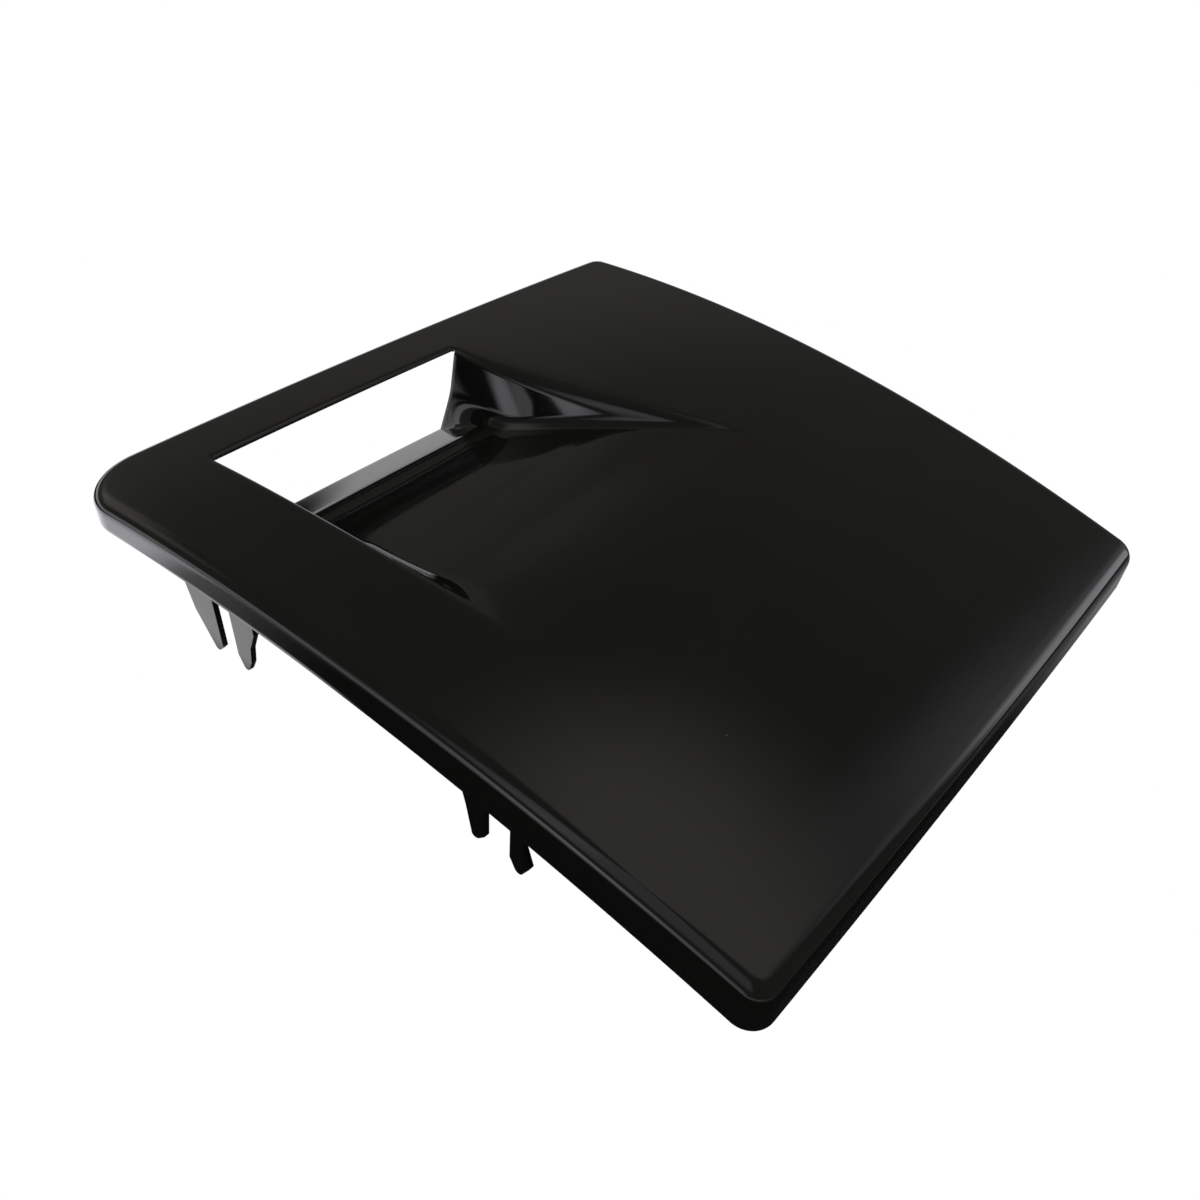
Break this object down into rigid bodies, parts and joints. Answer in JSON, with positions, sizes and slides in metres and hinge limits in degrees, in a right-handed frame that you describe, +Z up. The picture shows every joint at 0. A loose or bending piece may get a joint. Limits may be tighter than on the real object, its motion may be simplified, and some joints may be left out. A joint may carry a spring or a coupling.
{
  "type": "headlight lid with air intake",
  "caption": "Thin moulded pop-up headlight lid with a scooped ramp running down to a rectangular air mouth, a rolled rim and slotted fixing tabs.",
  "frame": {"origin": "middle of the lid in plan, at the level of the lowest tab tips", "axes": "+X towards the outer side of the car, +Y rearward, +Z up out of the lid"},
  "size_m": [0.3426, 0.3614, 0.069],
  "materials": {
    "gloss_black": "gloss"
  },
  "bodies": {
    "root": {"lid": "gloss_black"}
  },
  "joints": []
}
